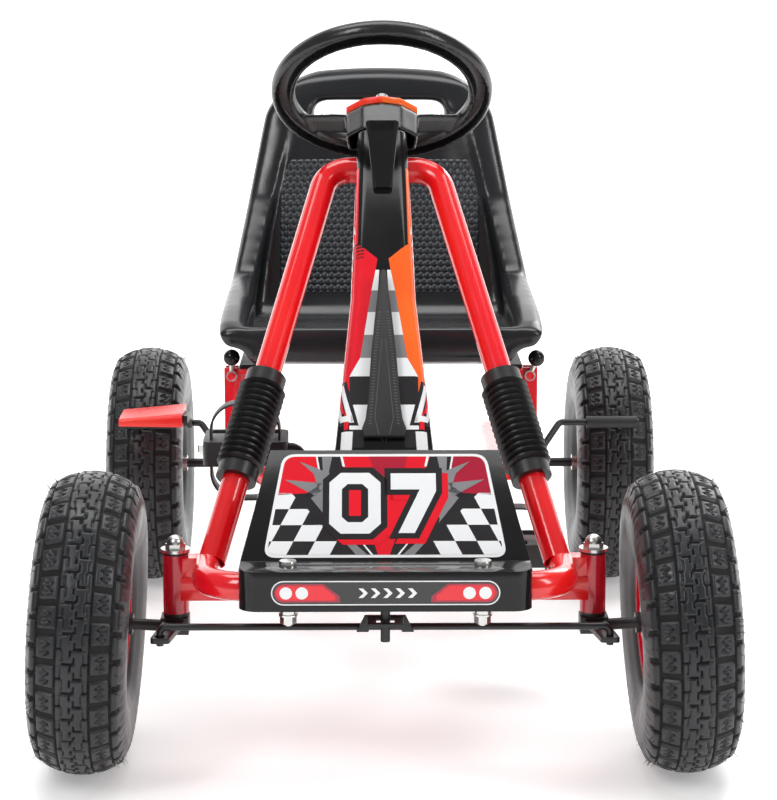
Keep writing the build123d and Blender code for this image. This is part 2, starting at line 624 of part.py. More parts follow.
def chain_guard():
    x0, x1, wall = chain_x - 8, chain_x + 8, 2
    case = guard_slab(14, x0 + wall, x1) - guard_slab(12, x0 + wall, x1 - wall)
    back = guard_slab(14, x0, x0 + wall)
    through = rod(at(x0 - 1, 410, rail_z), at(x1 + 1, 410, rail_z), tube_r + 1)
    holes = through + rod((x0 - 1, crank_y, crank_z), (x1 + 1, crank_y, crank_z), 14)
    holes += rod((x0 - 1, rear_y, tyre_r), (x1 + 1, rear_y, tyre_r), 10)
    holes += rod(at(x0 - 1, brake_y, brake_z), at(x1 + 1, brake_y, brake_z), 6)
    node("chain_guard", case - holes, back - holes)


def pedal(side, name):
    """A moulded block that hangs level on its spindle, with a toe strap above and below."""
    y, z = crank_end(side)
    spot = Pos(side * pedal_x, y, z)
    length, depth, thick = 76, 62, 22
    body = extrude(Plane.XY * RectangleRounded(length, depth, 8), thick / 2, both=True)
    window = extrude(RectangleRounded(24, 16, 4), 30, both=True)
    body -= Pos(0, -19, 0) * window
    body -= Pos(-20, 19, 0) * window
    body -= Pos(20, 19, 0) * window
    body -= rod((-50, 0, 0), (50, 0, 0), 4.5 + gap)
    node(f"pedal_{name}", spot * body)
    band = RectangleRounded(64, 90, 26) - RectangleRounded(60, 86, 24)
    strap = extrude(Plane(origin=(0, -2, 0), x_dir=(1, 0, 0), z_dir=(0, -1, 0)) * band, 20)
    strap -= Box(length + 1, depth + 1, thick + 0.1)
    node(f"pedal_strap_{name}", spot * strap)


# ---------------------------------------------------------------- brake


def brake():
    """A rod across the kart that swings its sleeves on to the rear tyres."""
    reach_y, reach_z, out_x = 535, 200, 277
    run = brake_y + 4
    points = [at(-out_x, reach_y, reach_z), at(-192, reach_y, reach_z), at(-172, run, 176), at(-168, brake_y, brake_z),
              at(168, brake_y, brake_z), at(172, run, 176), at(192, reach_y, reach_z), at(out_x, reach_y, reach_z)]
    node("brake_bar", pipe(points, 7, brake_rod_r))
    for side in (-1, 1):
        node("brake_sleeves", rod(at(side * 221, reach_y, reach_z), at(side * 275, reach_y, reach_z), 6.5, brake_rod_r))
        hanger = block(rail_x - 14 if side > 0 else -rail_x + 8, rail_x - 8 if side > 0 else -rail_x + 14,
                       brake_y - 9, brake_y + 9, 140, 160)
        hanger -= rod(at(-300, brake_y, brake_z), at(300, brake_y, brake_z), brake_rod_r + gap)
        rail = rod(at(side * rail_x, 440, rail_z), at(side * rail_x, 600, rail_z), tube_r)
        tab = block(min(side * (rail_x - 14), side * (rail_x - 8)), max(side * (rail_x - 14), side * (rail_x - 8)),
                    brake_y - 9, brake_y + 9, 160, 166)
        node("rear_subframe", max((hanger + tab - rail).solids(), key=lambda solid: solid.volume))
    plate = prism([(reach_y - 7, 196), (reach_y + 5, 196), (reach_y + 5, 206), (reach_y - 14, 216), (460, 222),
                   (460, 214), (reach_y - 20, 208)],
                  Plane(origin=at(-206, 0, 0), x_dir=(0, 1, 0), z_dir=(1, 0, 0)), 5)
    plate -= rod(at(-300, reach_y, reach_z), at(-100, reach_y, reach_z), brake_rod_r)
    node("brake_bar", plate)
    inner, outer = at(-206.2, 486, 217.5), at(-272, 486, 215)
    grip = loft([Plane(origin=inner, x_dir=(0, 1, 0), z_dir=(-1, 0, 0)) * RectangleRounded(66, 15, 6),
                 Plane(origin=outer, x_dir=(0, 1, 0), z_dir=(-1, 0, 0)) * RectangleRounded(60, 8, 3.5)])
    node("brake_grip", grip)


# ---------------------------------------------------------------- seat


def outline_face(points, grow, rounding=0):
    face = make_face(Polyline(*points, close=True))
    if rounding:
        face = fillet(face.vertices(), rounding)
    return offset(face, amount=grow) if grow else face


def seat_full(inset):
    """The seat's outer form, its bucket and its grab slot, drawn thinner by inset."""
    side_view = Plane(origin=at(0, 0, 0), x_dir=(0, 1, 0), z_dir=(1, 0, 0))
    front_view = Plane(origin=at(0, 300, 0), x_dir=(1, 0, 0), z_dir=(0, -1, 0))
    outer = [(405, 322), (405, 287), (436, 279), (640, 279), (672, 292), (712, 440), (750, 562), (736, 570),
             (715, 560), (670, 430), (600, 352), (480, 336)]
    front = [(-134, 250), (134, 250), (137, 300), (158, 304), (167, 322), (161, 345), (127, 520), (100, 560),
             (60, 575), (-60, 575), (-100, 560), (-127, 520), (-161, 345), (-167, 322), (-158, 304), (-137, 300)]
    bucket = [(412, 345), (424, 309), (470, 303), (632, 298), (650, 312), (690, 450), (712, 545), (700, 600),
              (400, 600)]
    well = [(-128, 250), (128, 250), (138, 300), (130, 360), (96, 520), (-96, 520), (-130, 360), (-138, 300)]
    slot = [(-76, 508), (76, 508), (70, 532), (-70, 532)]
    shape = extrude(side_view * outline_face(outer, -inset), 175, both=True)
    shape &= extrude(front_view * outline_face(front, -inset, 8), -500)
    hollow = extrude(side_view * outline_face(bucket, inset), 175, both=True)
    hollow &= extrude(front_view * outline_face(well, inset, 12), -500)
    return shape - hollow - extrude(front_view * outline_face(slot, inset, 6), -500)


def seat_body():
    """A double-skinned moulding with a vent hole in its underside."""
    body = seat_full(0) - seat_full(shell_wall)
    return body - rod(at(0, 560, 270), at(0, 560, 290), 5)


def seat():
    node("seat_shell", seat_body())
    for side in (-1, 1):
        x0, x1 = sorted((side * (post_x - 34), side * (post_x - 8)))
        node("seat_rails", block(x0, x1, 440, 620, post_top + 0.1, 279))
    for side, name in ((1, "left"), (-1, "right")):
        tilt = radians(0 if side < 0 else 20)
        lift = Vector(side * sin(tilt), 0, cos(tilt))
        pivot = at(side * post_x, post_y - 12, clamp_z)
        boss = rod(pivot + Vector(0, 3.9, 0), pivot - Vector(0, 4, 0), 5.5)
        stem = rod(pivot + lift * 4, pivot + lift * 14, 2.5)
        stud = rod(pivot + Vector(0, 4, 0), pivot - Vector(0, 6, 0), 2)
        node(f"clamp_lever_{name}", boss + stem - rod(pivot + Vector(0, 5, 0), pivot - Vector(0, 6, 0), 2 + gap))
        knob = Pos(*(pivot + lift * 19)) * Sphere(8.5) - stem
        node(f"clamp_knob_{name}", max(knob.solids(), key=lambda solid: solid.volume))
        node("seat_posts", stud + rod(pivot - Vector(0, 4.1, 0), pivot - Vector(0, 6, 0), 4))


def write():
    os.makedirs("parts", exist_ok=True)
    for name, solids in nodes.items():
        shape = solids[0] if len(solids) == 1 else Compound(children=solids)
        export_step(shape, f"parts/{name}.step")
        print(name, len(solids))


wheels()
knuckles()
tie_rod()
steering()
frame()
covers()
drive()
brake()
seat()
write()
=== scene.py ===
import json
from math import asin, atan2, cos, hypot, pi, radians, sin

import bmesh
import bpy
import numpy as np
from mathutils import Matrix, Vector


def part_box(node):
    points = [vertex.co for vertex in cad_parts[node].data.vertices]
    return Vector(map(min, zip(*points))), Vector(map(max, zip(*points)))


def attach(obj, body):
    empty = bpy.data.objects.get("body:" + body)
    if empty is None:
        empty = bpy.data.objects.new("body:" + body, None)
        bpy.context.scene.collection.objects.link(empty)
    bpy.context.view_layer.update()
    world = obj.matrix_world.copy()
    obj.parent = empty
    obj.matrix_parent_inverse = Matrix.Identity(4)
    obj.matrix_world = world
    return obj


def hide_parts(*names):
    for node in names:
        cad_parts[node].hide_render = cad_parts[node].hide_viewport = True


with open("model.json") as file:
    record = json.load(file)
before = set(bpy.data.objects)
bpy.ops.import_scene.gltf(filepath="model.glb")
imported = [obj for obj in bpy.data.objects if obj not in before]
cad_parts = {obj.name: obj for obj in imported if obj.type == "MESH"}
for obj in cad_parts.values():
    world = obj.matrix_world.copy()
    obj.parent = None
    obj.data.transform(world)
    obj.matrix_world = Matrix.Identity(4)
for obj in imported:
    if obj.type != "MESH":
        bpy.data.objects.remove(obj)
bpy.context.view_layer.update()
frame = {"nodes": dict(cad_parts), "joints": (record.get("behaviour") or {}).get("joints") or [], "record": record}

MM = 0.001


# ---------------------------------------------------------------- materials

def principled(name, colour, roughness, metallic=0.0, coat=0.0, coat_roughness=0.05, specular=0.5):
    """A bare material and the handles that its maker needs."""
    made = bpy.data.materials.new(name)
    made.use_nodes = True
    shader = made.node_tree.nodes["Principled BSDF"]
    shader.inputs["Base Color"].default_value = (*colour, 1)
    shader.inputs["Roughness"].default_value = roughness
    shader.inputs["Metallic"].default_value = metallic
    shader.inputs["Coat Weight"].default_value = coat
    shader.inputs["Coat Roughness"].default_value = coat_roughness
    shader.inputs["Specular IOR Level"].default_value = specular
    return made, made.node_tree.nodes, made.node_tree.links, shader


def noise_at(nodes, links, scale, detail=3.0):
    """A noise in the object's own space, in cells per metre."""
    place = nodes.new("ShaderNodeTexCoord")
    texture = nodes.new("ShaderNodeTexNoise")
    texture.inputs["Scale"].default_value = scale
    texture.inputs["Detail"].default_value = detail
    links.new(place.outputs["Object"], texture.inputs["Vector"])
    return texture.outputs["Fac"]


def spread(nodes, links, value, low, high, start=0.3, stop=0.7):
    """A value mapped to a new range."""
    remap = nodes.new("ShaderNodeMapRange")
    remap.inputs["From Min"].default_value = start
    remap.inputs["From Max"].default_value = stop
    remap.inputs["To Min"].default_value = low
    remap.inputs["To Max"].default_value = high
    links.new(value, remap.inputs["Value"])
    return remap.outputs["Result"]


def surface(name, colour, second, roughness, grain, bump, patch=9.0, **shader_values):
    """Colour drifting to a second one in soft patches, uneven roughness and a fine grain."""
    made, nodes, links, shader = principled(name, colour, roughness[0], **shader_values)
    patches = noise_at(nodes, links, patch)
    ramp = nodes.new("ShaderNodeValToRGB")
    ramp.color_ramp.elements[0].color = (*colour, 1)
    ramp.color_ramp.elements[1].color = (*second, 1)
    ramp.color_ramp.elements[0].position = 0.35
    ramp.color_ramp.elements[1].position = 0.7
    links.new(patches, ramp.inputs["Fac"])
    links.new(ramp.outputs["Color"], shader.inputs["Base Color"])
    uneven = spread(nodes, links, noise_at(nodes, links, patch * 3), *roughness)
    links.new(uneven, shader.inputs["Roughness"])
    relief = nodes.new("ShaderNodeBump")
    relief.inputs["Strength"].default_value = bump
    relief.inputs["Distance"].default_value = 0.0006
    links.new(noise_at(nodes, links, grain, 4), relief.inputs["Height"])
    links.new(relief.outputs["Normal"], shader.inputs["Normal"])
    return made


def paint(name, colour, second):
    """Powder coat: a glossy skin with a little orange peel."""
    return surface(name, colour, second, (0.16, 0.26), 260, 0.06, patch=5, coat=0.6, coat_roughness=0.04)


FRAME_RED = paint("frame_red", (0.80, 0.002, 0.014), (0.86, 0.010, 0.008))
KINGPIN_RED = paint("kingpin_red", (0.50, 0.004, 0.022), (0.56, 0.008, 0.024))
RIM_RED = paint("rim_red", (0.70, 0.006, 0.03), (0.76, 0.012, 0.04))
BLACK_PAINT = surface("black_paint", (0.012, 0.012, 0.013), (0.02, 0.02, 0.021), (0.3, 0.42), 420, 0.12)
TYRE = surface("tyre_rubber", (0.009, 0.010, 0.012), (0.018, 0.019, 0.022),
               (0.28, 0.44), 900, 0.25, patch=14)
# The groove faces are darker than the tread rubber: painted shade in the grooves.
TYRE_GROOVE_SHADE = surface("tyre_grooves_painted_shade", (0.003, 0.003, 0.003), (0.006, 0.006, 0.006),
                   (0.7, 0.85), 900, 0.3, patch=14)
TUBE = surface("tube_rubber", (0.03, 0.03, 0.03), (0.05, 0.05, 0.05), (0.6, 0.8), 500, 0.2)
GAITER = surface("gaiter_rubber", (0.010, 0.010, 0.011), (0.018, 0.018, 0.019), (0.3, 0.42), 600, 0.15)
SLEEVE = surface("sleeve_rubber", (0.014, 0.014, 0.014), (0.02, 0.02, 0.02), (0.5, 0.65), 700, 0.25)
COVER = surface("cover_gloss", (0.007, 0.007, 0.008), (0.011, 0.011, 0.012),
                (0.10, 0.17), 180, 0.03, coat=0.1, specular=0.28)
INSERT = surface("insert_grain", (0.016, 0.016, 0.017), (0.026, 0.026, 0.027),
                 (0.38, 0.5), 1500, 0.35, specular=0.3)
RIB = surface("rib_grey", (0.05, 0.05, 0.05), (0.09, 0.09, 0.09), (0.3, 0.4), 400, 0.05)
SEAT = surface("seat_plastic", (0.009, 0.010, 0.012), (0.015, 0.015, 0.017),
               (0.18, 0.28), 800, 0.1, patch=6)
SEAT_GRAIN = surface("seat_scales", (0.014, 0.016, 0.021), (0.024, 0.027, 0.034),
                     (0.24, 0.34), 900, 0.1, patch=6)
WHEEL = surface("wheel_plastic", (0.008, 0.008, 0.008), (0.015, 0.015, 0.015), (0.2, 0.3), 500, 0.08)
NYLON = surface("nylon", (0.02, 0.02, 0.02), (0.032, 0.032, 0.032), (0.4, 0.55), 600, 0.15)
PEDAL = surface("pedal_plastic", (0.022, 0.022, 0.023), (0.036, 0.036, 0.037), (0.42, 0.56), 900, 0.3)
RED_PLASTIC = surface("red_plastic", (0.86, 0.012, 0.012), (0.92, 0.04, 0.012), (0.24, 0.34), 400, 0.06)
ZINC = surface("zinc", (0.62, 0.62, 0.60), (0.74, 0.74, 0.72), (0.2, 0.34), 500, 0.15, metallic=1.0)
CHROME = surface("ground_steel", (0.7, 0.7, 0.72), (0.78, 0.78, 0.8), (0.12, 0.2), 400, 0.08, metallic=1.0)
CHAIN = surface("oiled_steel", (0.16, 0.155, 0.15), (0.26, 0.25, 0.24), (0.3, 0.45), 600, 0.2, metallic=1.0)


def ink(name, colour, second=None):
    """Printed vinyl: smooth, with a thin clear coat."""
    return surface(name, colour, second or colour, (0.14, 0.2), 300, 0.02, patch=12, coat=0.5)


INK_WHITE = ink("ink_white", (0.82, 0.83, 0.84), (0.86, 0.86, 0.87))
INK_BLACK = ink("ink_black", (0.012, 0.010, 0.012), (0.018, 0.016, 0.018))
INK_RED = ink("ink_red", (0.80, 0.002, 0.016), (0.70, 0.002, 0.016))
INK_DARK_RED = ink("ink_dark_red", (0.33, 0.006, 0.03), (0.45, 0.006, 0.03))
INK_ORANGE = ink("ink_orange", (0.93, 0.115, 0.008), (0.95, 0.15, 0.01))
INK_GREY = ink("ink_grey", (0.20, 0.20, 0.21), (0.25, 0.25, 0.26))
INKS = [INK_WHITE, INK_BLACK, INK_RED, INK_DARK_RED, INK_ORANGE, INK_GREY]
WHITE, BLACK, RED, DARK, ORANGE, GREY = range(6)

NODE_MATERIALS = {
    FRAME_RED: ["front_axle_beam", "bumper_tube", "hoop_tube", "column_housings", "spine_tube",
                "crank_housing", "rear_subframe", "seat_posts"],
    KINGPIN_RED: ["kingpin_housings"],
    RIM_RED: ["rim_front_left", "rim_front_right", "rear_rims"],
    BLACK_PAINT: ["knuckle_left", "knuckle_right", "tie_rod", "steering_shaft", "crank", "rear_axle",
                  "brake_bar", "seat_rails"],
    TUBE: ["inner_tube_front_left", "inner_tube_front_right", "rear_inner_tubes"],
    GAITER: ["hoop_gaiters"],
    SLEEVE: ["brake_sleeves"],
    COVER: ["bumper_cover", "column_cover_front", "column_cover_rear", "column_beak", "chain_guard",
            "clamp_knob_left", "clamp_knob_right"],
    INSERT: ["column_insert"],
    SEAT: ["seat_shell"],
    WHEEL: ["steering_wheel"],
    NYLON: ["plain_bushes"],
    PEDAL: ["pedal_left", "pedal_right", "pedal_strap_left", "pedal_strap_right"],
    RED_PLASTIC: ["brake_grip", "steering_hub_pad"],
    ZINC: ["knuckle_nuts_left", "knuckle_nuts_right", "steering_wheel_bolt", "bumper_bolts", "bumper_nuts",
           "drive_sprocket", "driven_sprocket", "rear_axle_nuts", "pedal_nuts", "clamp_lever_left",
           "clamp_lever_right"],
    CHROME: ["wheel_bearings_left", "wheel_bearings_right", "rear_bearings"],
    CHAIN: ["chain"],
    TYRE: ["tyre_front_left", "tyre_front_right", "rear_tyres"],
}
node_material = {}
for finish, names in NODE_MATERIALS.items():
    for name in names:
        node_material[name] = finish
        held = frame["nodes"][name].data
        held.materials.clear()
        held.materials.append(finish)


# ---------------------------------------------------------------- mesh helpers

def piece(name, verts, faces, materials, body, smooth=True, indices=None):
    """A mesh that rides on a body, with its materials and, if given, the material of each face."""
    mesh = bpy.data.meshes.new(name)
    mesh.from_pydata([tuple(v) for v in verts], [], faces)
    for finish in materials if isinstance(materials, (list, tuple)) else [materials]:
        mesh.materials.append(finish)
    if indices is not None:
        mesh.polygons.foreach_set("material_index", indices)
    mesh.validate()
    obj = bpy.data.objects.new(name, mesh)
    bpy.context.scene.collection.objects.link(obj)
    if smooth:
        mesh.shade_smooth()
    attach(obj, body)
    return obj


def apply_modifiers(obj):
    """The modifiers made part of the mesh."""
    bpy.context.view_layer.update()
    graph = bpy.context.evaluated_depsgraph_get()
    mesh = bpy.data.meshes.new_from_object(obj.evaluated_get(graph))
    obj.modifiers.clear()
    obj.data = mesh


def softened(node, width, body, angle=32, segments=3):
    """A copy of a CAD node with its sharp edges rounded, standing for that node."""
    source = frame["nodes"][node]
    work = bmesh.new()
    work.from_mesh(source.data)
    bmesh.ops.remove_doubles(work, verts=work.verts, dist=1e-6)
    bmesh.ops.dissolve_limit(work, angle_limit=radians(0.6), verts=work.verts, edges=work.edges)
    mesh = bpy.data.meshes.new("soft_" + node)
    work.to_mesh(mesh)
    work.free()
    mesh.materials.append(node_material[node])
    obj = bpy.data.objects.new("soft_" + node, mesh)
    bpy.context.scene.collection.objects.link(obj)
    edge = obj.modifiers.new("edge", "BEVEL")
    edge.width = width
    edge.segments = segments
    edge.limit_method = "ANGLE"
    edge.angle_limit = radians(angle)
    edge.use_clamp_overlap = True
    edge.harden_normals = False
    mesh.shade_smooth()
    apply_modifiers(obj)
    obj.data.shade_smooth()
    obj.data.set_sharp_from_angle(angle=radians(38))
    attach(obj, body)
    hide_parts(node)
    return obj


def grid_faces(rows, columns, wrap_rows=False, wrap_columns=False):
    """Four-sided faces between the points of a grid, which may close on itself."""
    faces = []
    for i in range(rows if wrap_rows else rows - 1):
        for j in range(columns if wrap_columns else columns - 1):
            k, m = (i + 1) % rows, (j + 1) % columns
            faces.append((i * columns + j, k * columns + j, k * columns + m, i * columns + m))
    return faces


# ---------------------------------------------------------------- places from the frame

joints = {joint["name"]: joint for joint in frame["joints"]}


def joint_place(name):
    return Vector(joints[name]["pos_m"])


front_y = joint_place("knuckle_left_turn").y
rear_place = joint_place("rear_axle_spin")
column_up = Vector(joints["steering_wheel_turn"]["axis"]).normalized()
wheel_place = joint_place("steering_wheel_turn")
column_front = Vector((0, -column_up.z, column_up.y))


def at(x, y, z):
    """A point in millimetres whose y is counted from the front axle."""
    return Vector((x * MM, front_y + y * MM, z * MM))


def on_column(drop, forward=0, x=0):
    """A point a distance down the steering shaft, forward of it and across it."""
    return wheel_place - column_up * (drop * MM) + column_front * (forward * MM) + Vector((x * MM, 0, 0))


# ---------------------------------------------------------------- tyres

TYRE_R, TREAD_HALF, TREAD_DROP, SIDE_X, SIDE_R = 130.0, 35.5, 12.0, 41.5, 92.0
FLANGE_X, FLANGE_R, PITCHES = 27.0, 58.5, 32
GROOVE = 3.0
TYRE_SHIFT = 2.5


def three_point_arc(start, middle, end, count):
    """Points on the arc through three points, in order."""
    (ax, ay), (bx, by), (cx, cy) = start, middle, end
    d = 2 * (ax * (by - cy) + bx * (cy - ay) + cx * (ay - by))
    ux = ((ax**2 + ay**2) * (by - cy) + (bx**2 + by**2) * (cy - ay) + (cx**2 + cy**2) * (ay - by)) / d
    uy = ((ax**2 + ay**2) * (cx - bx) + (bx**2 + by**2) * (ax - cx) + (cx**2 + cy**2) * (bx - ax)) / d
    a0, a1 = atan2(ay - uy, ax - ux), atan2(cy - uy, cx - ux)
    am = atan2(by - uy, bx - ux)
    if not min(a0, a1) <= am <= max(a0, a1):
        a1 += 2 * pi if a1 < a0 else -2 * pi
    radius = hypot(ax - ux, ay - uy)
    return [(ux + radius * cos(a0 + (a1 - a0) * k / count), uy + radius * sin(a0 + (a1 - a0) * k / count))
            for k in range(count + 1)]


def tyre_outline():
    """The tyre's outline across it, and the row that closes it inside the rim."""
    shoulder = TYRE_R - TREAD_DROP
    side = three_point_arc((-FLANGE_X + 0.3, FLANGE_R - 5), (-SIDE_X, SIDE_R), (-TREAD_HALF, shoulder), 22)
    crown = three_point_arc((-TREAD_HALF, shoulder), (0, TYRE_R), (TREAD_HALF, shoulder), 74)
    other = [(-x, r) for x, r in reversed(side)]
    inside = [(FLANGE_X - 5, FLANGE_R - 4), (0, FLANGE_R - 3), (-FLANGE_X + 5, FLANGE_R - 4)]
    return np.array(side[:-1] + crown + other[1:]), np.array(inside)


def smooth_band(distance, half, edge=0.45):
    """1 inside a band of that half width, falling to 0 over the edge."""
    return np.clip((half + edge - distance) / (2 * edge), 0, 1)


def triangle(u):
    """A zigzag between -1 and 1."""
    return 2 * np.abs((u % 1) - 0.5) * 2 - 1


def tread_depth(x, u):
    """How deep the tread is cut, 0 to 1, at x mm from the middle and u pitches round the tyre."""
    reach = np.abs(x)
    own = (u + np.where(x > 0, 0.5, 0.0) + 0.5) % 1 - 0.5
    along = own * 2 * pi * 126 / PITCHES
    reach_in = 9.0 + 0.9 * np.sign(own)
    depth = smooth_band(np.abs(x - 1.3 * np.sign(((u * 2) % 1) - 0.5)), 0.9)
    depth = np.maximum(depth, smooth_band(12.4 - np.abs(along), 1.0) * (reach < reach_in + 0.8))
    depth = np.maximum(depth, smooth_band(np.abs(reach - reach_in), 0.55) * (np.abs(along) < 9.5))
    depth = np.maximum(depth, smooth_band(np.abs(along), 0.7) * (reach > reach_in) * (reach < 14.2))
    depth = np.maximum(depth, smooth_band(np.abs(reach - 14.2), 0.8))
    gap = smooth_band(12.4 - np.abs(along), 3.4, 0.6) * (reach > 14.2) * (reach < 31)
    depth = np.maximum(depth, 0.85 * gap)
    kink = 21.5 + 2.4 * triangle(along / 7.0)
    depth = np.maximum(depth, 0.9 * smooth_band(np.abs(reach - kink), 0.65) * (np.abs(along) < 7.4))
    cross = smooth_band(np.abs(np.abs(along) - 3.4), 0.6) * (reach > 19) * (reach < 26.5)
    depth = np.maximum(depth, 0.8 * cross)
    depth = np.maximum(depth, smooth_band(np.abs(reach - 31), 0.9))
    lug = smooth_band(np.abs(along), 2.6, 0.6) * (reach > 31) * np.clip((38.5 - reach) / 1.5, 0, 1)
    return np.maximum(depth, lug)


def tyre_mesh(steps_per_pitch=26):
    """One tyre round X at the origin, and which of its faces are in the grooves, where a darker colour is painted
    as shade.
    """
    outline, inside = tyre_outline()
    count = PITCHES * steps_per_pitch
    tangent = np.gradient(outline, axis=0)
    normal = np.stack([-tangent[:, 1], tangent[:, 0]], 1)
    normal /= np.linalg.norm(normal, axis=1)[:, None]
    rows, cuts = [], []
    x, r = outline[:, 0], outline[:, 1]
    on_tread = np.clip((r - (TYRE_R - TREAD_DROP - 7)) / 3, 0, 1)
    ring = 0.5 * smooth_band(np.abs(r - 76), 0.8) + 0.35 * smooth_band(np.abs(r - 101), 0.6)
    ring += 0.6 * smooth_band(np.abs(r - 64), 1.2)
    for step in range(count):
        u = step / steps_per_pitch
        depth = tread_depth(x, u) * on_tread
        cuts.append(np.concatenate([depth, np.zeros(len(inside))]))
        lug = 0.5 * smooth_band(np.abs(((u * 2) % 1) - 0.5), 0.16, 0.08)
        lug = lug * smooth_band(np.abs(r - 106), 3.5, 1.0)
        move = -GROOVE * depth + (ring + lug) * (np.abs(x) > 30) * (r < 112)
        points = np.concatenate([outline + normal * move[:, None], inside])
        angle = 2 * pi * step / count
        rows.append(np.stack([points[:, 0], points[:, 1] * cos(angle), points[:, 1] * sin(angle)], 1))
    columns = len(outline) + len(inside)
    verts = np.concatenate(rows) * MM
    faces = [f[::-1] for f in grid_faces(count, columns, True, True)]
    cut = np.concatenate(cuts)
    return verts, faces, [int(cut[list(face)].mean() > 0.55) for face in faces]


def hairs(count, seed):
    """Moulding hairs on the tread's edges, as thin four-sided spikes."""
    dice = np.random.default_rng(seed)
    verts, faces = [], []
    for number in range(count):
        side = -1 if number % 2 else 1
        x = side * (30 + 7 * dice.random())
        r = TYRE_R - TREAD_DROP * (x / TREAD_HALF) ** 2 - 0.6
        angle = 2 * pi * dice.random()
        lean = Vector((side * (0.6 + 0.5 * dice.random()), 0.9, 0.5 * (dice.random() - 0.5))).normalized()
        long = 3 + 3 * dice.random()
        root, tip = Vector((x, r, 0)), Vector((x, r, 0)) + lean * long
        turn = Matrix.Rotation(angle, 3, "X")
        first = len(verts)
        for dx, dz in ((-0.28, -0.28), (0.28, -0.28), (0.28, 0.28), (-0.28, 0.28)):
            verts.append(turn @ (root + Vector((dx, 0, dz))) * MM)
        for dx, dz in ((-0.12, -0.12), (0.12, -0.12), (0.12, 0.12), (-0.12, 0.12)):
            verts.append(turn @ (tip + Vector((dx, 0, dz))) * MM)
        for a in range(4):
            b = (a + 1) % 4
            faces.append((first + a, first + b, first + 4 + b, first + 4 + a))
        faces.append((first + 4, first + 5, first + 6, first + 7))
        faces.append((first + 3, first + 2, first + 1, first))
    return verts, faces


def make_tyres():
    """The four tyres, each in its node's place, with moulding hairs."""
    verts, faces, cut = tyre_mesh()
    rear_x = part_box("rear_tyres")[1].x - 40 * MM
    spots = []
    for side, name in ((1, "left"), (-1, "right")):
        joint = joints[f"front_wheel_{name}_spin"]
        tilt = -side * asin(abs(joint["axis"][2]))
        centre = Vector(joint["pos_m"])
        centre += Matrix.Rotation(tilt, 3, "Y") @ Vector((side * TYRE_SHIFT * MM, 0, 0))
        spots.append((f"front_{name}_tread", centre, tilt, side,
                      f"front_wheel_{name}", f"tyre_front_{name}"))
        centre = Vector((side * rear_x, rear_place.y, rear_place.z))
        spots.append((f"rear_{name}_tread", centre, 0, side, "rear_axle", "rear_tyres"))
    for number, (name, centre, tilt, side, body, node) in enumerate(spots):
        turn = Matrix.Rotation(tilt, 3, "Y") @ Matrix.Rotation(0 if side > 0 else pi, 3, "Z")
        spike_verts, spike_faces = hairs(150, number)
        points = verts @ np.array(turn).T + np.array(centre)
        spikes = [turn @ v + centre for v in spike_verts]
        joined = [tuple(p) for p in points] + spikes
        shift = len(points)
        all_faces = faces + [tuple(shift + i for i in f) for f in spike_faces]
        # Faces in the grooves take the second material, the darker painted groove shade.
        indices = cut + [0] * len(spike_faces)
        tread = piece(name, joined, all_faces, [TYRE, TYRE_GROOVE_SHADE], body, indices=indices)
        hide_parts(node)


# ---------------------------------------------------------------- flat stickers

def grow(points, amount):
    """A polygon with its sides moved outwards by an amount."""
    area = sum(a[0] * b[1] - b[0] * a[1] for a, b in zip(points, points[1:] + points[:1]))
    sign = 1 if area > 0 else -1
    moved = []
    for before, here, after in zip(points[-1:] + points[:-1], points, points[1:] + points[:1]):
        into, out = Vector(here) - Vector(before), Vector(after) - Vector(here)
        a = Vector((into.y, -into.x)).normalized() * sign
        b = Vector((out.y, -out.x)).normalized() * sign
        split = (a + b) / max(0.35, 1 + a.dot(b))
        moved.append((here[0] + split.x * amount, here[1] + split.y * amount))
    return moved


def rounded(points, radius, steps=5):
    """A polygon with its corners rounded."""
    made = []
    for before, here, after in zip(points[-1:] + points[:-1], points, points[1:] + points[:1]):
        here = Vector(here)
        start = here + (Vector(before) - here).normalized() * radius
        end = here + (Vector(after) - here).normalized() * radius
        for k in range(steps + 1):
            t = k / steps
            made.append(tuple((start * (1 - t) ** 2 + here * 2 * t * (1 - t) + end * t**2)))
    return made


def clip(points, boundary):
    """The part of a polygon inside a convex polygon."""
    area = sum(a[0] * b[1] - b[0] * a[1] for a, b in zip(boundary, boundary[1:] + boundary[:1]))
    edges = list(zip(boundary, boundary[1:] + boundary[:1]))
    if area < 0:
        edges = [(b, a) for a, b in edges]
    kept = list(points)
    for a, b in edges:
        side = lambda p: (b[0] - a[0]) * (p[1] - a[1]) - (b[1] - a[1]) * (p[0] - a[0])
        result = []
        for p, q in zip(kept, kept[1:] + kept[:1]):
            sp, sq = side(p), side(q)
            if sp >= 0:
                result.append(p)
            if sp * sq < 0:
                t = sp / (sp - sq)
                result.append((p[0] + (q[0] - p[0]) * t, p[1] + (q[1] - p[1]) * t))
        kept = result
        if len(kept) < 3:
            return []
    return kept


def sticker(name, layers, to_space, lift, body, step=0.08):
    """Printed areas: each is a level, a colour and a flat polygon, and higher levels lie on lower ones."""
    work = bmesh.new()
    for level, colour, points in layers:
        if len(points) < 3:
            continue
        corners = [work.verts.new(to_space(p[0], p[1], lift + step * level)) for p in points]
        face = work.faces.new(corners)
        face.material_index = colour
    work.normal_update()
    bmesh.ops.triangulate(work, faces=work.faces, ngon_method="EAR_CLIP")
    mesh = bpy.data.meshes.new(name)
    work.to_mesh(mesh)
    work.free()
    for finish in INKS:
        mesh.materials.append(finish)
    obj = bpy.data.objects.new(name, mesh)
    bpy.context.scene.collection.objects.link(obj)
    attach(obj, body)
    return obj


SEVEN = [(0.16, 0), (0.52, 0), (1, 0.94), (1, 1.35), (0, 1.35), (0, 0.98), (0.64, 0.98)]


